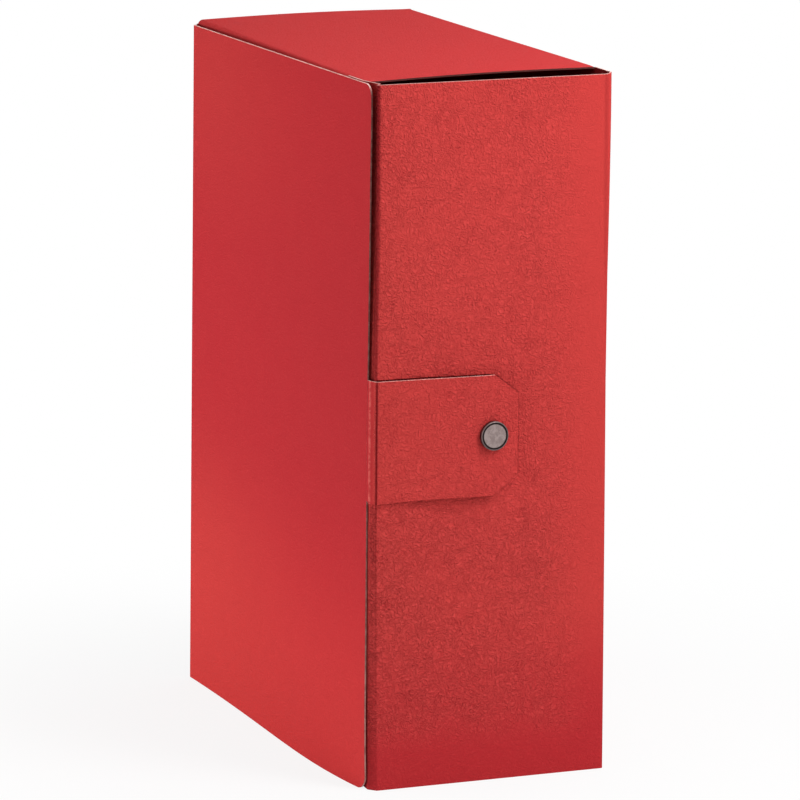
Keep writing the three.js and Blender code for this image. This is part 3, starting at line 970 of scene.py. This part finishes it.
def antiqueMetal():
    look = metalLook
    g = Graph(bpy.data.materials.new("antique_gunmetal"))
    place = g.objectPlace()
    clouds = g.noise(place, 420.0, 4.0, 0.65, 0.5)
    scuffs = g.noise(place, 2600.0, 3.0, 0.6)
    aged = g.smooth(clouds, 0.38, 0.62)
    centred = g.moved(place, (-snapX, 0.0, -midZ), (1.0, 1.0, 1.0))
    flat = g.add("ShaderNodeVectorMath", {"operation": "MULTIPLY"}, {0: centred, 1: (1.0, 0.0, 1.0)})
    fromAxis = g.length(flat)
    groove = 1 - g.smooth(abs(fromAxis - snap["groove"]), 0.32 * mm, 0.62 * mm)
    # the cap's side wall towards the tab, which gets painted shadow
    foot = g.smooth(g.part(place, 1), capLow.y + 0.9 * mm, capLow.y + 1.5 * mm)
    body = g.mix(aged, look["bright"], look["aged"])
    body = g.mix(g.smooth(scuffs, 0.6, 0.75) * 0.3, body, look["scuff"])
    # painted shade round the rim's outer edge
    body = g.mix(g.smooth(fromAxis, 6.7 * mm, 6.9 * mm) * 0.7, body, look["rim"])
    # dark patina in the pressed ring, and painted shadow on the side wall where the cap meets the tab
    body = g.mix(groove.maths("MAXIMUM", groove, foot) * 0.95, body, look["dark"])
    rough = 0.34 + aged * 0.08 + (scuffs - 0.5) * 0.16 + groove * 0.3
    relief = g.bump(scuffs, 0.02 * mm)
    shader = g.add("ShaderNodeBsdfPrincipled", {},
                   {"Base Color": body, "Metallic": 1.0, "Roughness": rough, "Normal": relief})
    return g.finish(shader)


def nickelSteel():
    g = Graph(bpy.data.materials.new("pressed_nickel_steel"))
    place = g.objectPlace()
    scuffs = g.noise(place, 1800.0, 3.0, 0.6)
    body = g.mix(scuffs, metalLook["nickel"], metalLook["nickelScuff"])
    relief = g.bump(scuffs, 0.015 * mm)
    rough = 0.24 + scuffs * 0.16
    shader = g.add("ShaderNodeBsdfPrincipled", {},
                   {"Base Color": body, "Metallic": 1.0, "Roughness": rough, "Normal": relief})
    return g.finish(shader)


def makeCap(metal):
    radius = (capHigh.x - capLow.x) / 2
    face = capLow.y
    openEdge = face + snap["capHeight"]
    floor = face + snap["grooveDepth"]
    ring = snap["groove"]
    dome = ring - snap["grooveReach"]
    profile = [(dome * share, face + snap["dome"] * share ** 2)
               for share in (0, 0.2, 0.4, 0.6, 0.8, 0.95, 1)]
    profile += [(ring - snap["grooveFlat"], floor), (ring + snap["grooveFlat"], floor)]
    profile += [(ring + snap["grooveReach"], face + 0.04 * mm)]
    profile += arcProfile(radius - snap["rimRound"], face + snap["rimRound"], snap["rimRound"], -90, 0, 6)
    profile += [(radius, openEdge - 0.2 * mm), (radius - 0.1 * mm, openEdge)]
    profile += [(radius - snap["wall"], openEdge), (radius - snap["wall"], floor + snap["wall"])]
    profile += [(snap["rivet"], floor + snap["wall"])]
    profile += [(snap["rivet"], capHigh.y), (0, capHigh.y)]
    turnedPiece("stud_cap", profile, snap["turns"], metal, "tab", "snap_cap")


def makeSocket(metal):
    edge, bead, hole = snap["edge"], snap["bead"], snap["socketHole"]
    foot, outerLip, innerLip, mouth = snap["socketLip"]
    plate = socketLow.y + snap["plate"]
    outer = (socketHigh.x - socketLow.x) / 2
    profile = [(hole, socketLow.y), (outer - edge, socketLow.y), (outer, socketLow.y + edge)]
    profile += [(outer, plate), (outer - 0.2 * mm, plate + edge), (foot, plate + 2 * edge)]
    profile += arcProfile(outerLip, socketHigh.y - bead, bead, 0, 90, 5)
    profile += arcProfile(innerLip, socketHigh.y - bead, bead, 90, 180, 5)
    profile += [(mouth, plate), (hole, plate)]
    turnedPiece("stud_socket", profile, snap["turns"], metal, "tab", "snap_socket")


def makeStud(metal):
    edge, neck, rivet = snap["edge"], snap["neck"], snap["rivet"]
    tip, tipRound = snap["headRound"]
    base = (studHigh.x - studLow.x) / 2
    face = studHigh.y - snap["base"]
    profile = [(0, studLow.y)]
    profile += arcProfile(tip, studLow.y + tipRound, tipRound, -90, 0, 6)
    profile += [(neck, studLow.y + snap["neckDepth"]), (neck, face - 0.1 * mm), (neck + edge, face)]
    profile += [(base - edge, face), (base, face + edge), (base, studHigh.y), (rivet, studHigh.y)]
    profile += [(rivet, studLow.y + tipRound), (0, studLow.y + tipRound)]
    turnedPiece("stud_head", profile, snap["turns"], metal, "case", "snap_stud")


def makePost(metal):
    pin = snap["postRadius"]
    flange = (postHigh.x - postLow.x) / 2
    front = postHigh.y - snap["base"]
    profile = [(0, postLow.y), (pin, postLow.y), (pin, front), (flange - 0.1 * mm, front)]
    profile += [(flange, front + 0.1 * mm), (flange, postHigh.y - 0.2 * mm)]
    profile += [(flange - 0.25 * mm, postHigh.y), (1.6 * mm, postHigh.y), (pin, postHigh.y - 0.25 * mm), (0, postHigh.y - 0.25 * mm)]
    turnedPiece("stud_post", profile, snap["turns"], metal, "case", "snap_post")


makeCap(antiqueMetal())
nickel = nickelSteel()
makeSocket(nickel)
makeStud(nickel)
makePost(nickel)
print("press stud made")


# The studio: a pale floor that is white to the camera away from the case, and soft lamps.
studio = {
    "floorSize": 14.0,
    "floorColour": (0.90, 0.90, 0.90, 1.0),
    "shadowShare": 0.13,       # how much of the floor's own shading the camera sees near the case
    "shadowReach": 0.42,
    "surround": 0.22,
    "lamps": {                 # place, aim, size and power
        "overhead": ((0.3, 0.2, 1.9), (0, 0, 0.3), 1.4, 10.1),
        "front_high": ((0.45, -0.95, 0.75), (0.02, -0.12, 0.25), 0.5, 2.85),
        "front_top": ((0.35, -0.55, 0.85), (0.03, -0.12, 0.25), 0.4, 4.75),
        "left_floor": ((-0.72, 0.36, 0.07), (-0.06, 0.06, 0.02), 0.4, 4.2),
        "left_front": ((-0.9, -0.35, 0.08), (-0.06, -0.1, 0.03), 0.3, 1.3),
    },
}


def areaLamp(name, place, aim, size, power):
    light = bpy.data.lights.new("lamp_" + name, "AREA")
    light.shape = "DISK"
    light.size = size
    light.energy = power
    lamp = bpy.data.objects.new("lamp_" + name, light)
    lamp.location = place
    lamp.rotation_euler = (Vector(aim) - Vector(place)).to_track_quat("-Z", "Y").to_euler()
    bpy.context.collection.objects.link(lamp)


def makeFloor():
    data = bpy.data.meshes.new("studio_floor")
    reach = studio["floorSize"] / 2
    corners = [(-reach, -reach, 0), (reach, -reach, 0), (reach, reach, 0), (-reach, reach, 0)]
    data.from_pydata(corners, [], [(0, 1, 2, 3)])
    g = Graph(bpy.data.materials.new("floor_pale"))
    place = g.objectPlace()
    far = g.smooth(g.length(place), 0.3 * studio["shadowReach"], studio["shadowReach"])
    near = (1 - far) * studio["shadowShare"]
    paint = g.add("ShaderNodeBsdfDiffuse", {}, {"Color": studio["floorColour"]})
    white = g.add("ShaderNodeEmission", {}, {"Strength": 1.0})
    shader = g.add("ShaderNodeMixShader", {}, {0: cameraSees(g) * (1 - near), 1: paint, 2: white})
    data.materials.append(g.finish(shader))
    floor = bpy.data.objects.new("studio_floor", data)
    bpy.context.collection.objects.link(floor)


def cameraSees(g):
    # 1 for what the camera sees straight, in a reflection or through something
    paths = [g.add("ShaderNodeLightPath", {}, {}, output=ray)
             for ray in ("Is Camera Ray", "Is Glossy Ray", "Is Transmission Ray")]
    either = paths[0].maths("MAXIMUM", paths[0], paths[1])
    return either.maths("MAXIMUM", either, paths[2])


def makeWorld():
    g = Graph(bpy.data.worlds.new("studio_world"))
    shade = g.add("ShaderNodeBackground", {}, {"Color": (1, 1, 1, 1), "Strength": studio["surround"]})
    white = g.add("ShaderNodeBackground", {}, {"Color": (1, 1, 1, 1), "Strength": 1.0})
    both = g.add("ShaderNodeMixShader", {}, {0: cameraSees(g), 1: shade, 2: white})
    bpy.context.scene.world = g.finish(both, "ShaderNodeOutputWorld")


makeFloor()
makeWorld()
for lampName, settings in studio["lamps"].items():
    areaLamp(lampName, *settings)

# The camera, fitted to the case's straight edges in the photograph.
view = {
    "place": (-1.1389, -2.7095, 0.7517),
    "turn": 22.881,            # degrees round from straight ahead
    "tilt": 11.222,            # degrees down
    "roll": 0.448,
    "focalPixels": 5887,
    "imagePixels": 800,
    "sensor": 36.0,
}


def makeCamera():
    turn, tilt, roll = (math.radians(view[key]) for key in ("turn", "tilt", "roll"))
    ahead = Vector((math.sin(turn) * math.cos(tilt), math.cos(turn) * math.cos(tilt), -math.sin(tilt)))
    level = Vector((math.cos(turn), -math.sin(turn), 0))
    above = level.cross(ahead)
    across = level * math.cos(roll) + above * math.sin(roll)
    upward = above * math.cos(roll) - level * math.sin(roll)
    data = bpy.data.cameras.new("photo_camera")
    data.sensor_width = view["sensor"]
    data.lens = view["focalPixels"] / view["imagePixels"] * view["sensor"]
    data.clip_end = 50
    camera = bpy.data.objects.new("photo_camera", data)
    turned = Matrix((across, upward, -ahead)).transposed().to_4x4()
    camera.matrix_world = Matrix.Translation(view["place"]) @ turned
    bpy.context.collection.objects.link(camera)
    bpy.context.scene.camera = camera


makeCamera()
bpy.context.scene.view_settings.view_transform = "Standard"
print("studio and camera set")
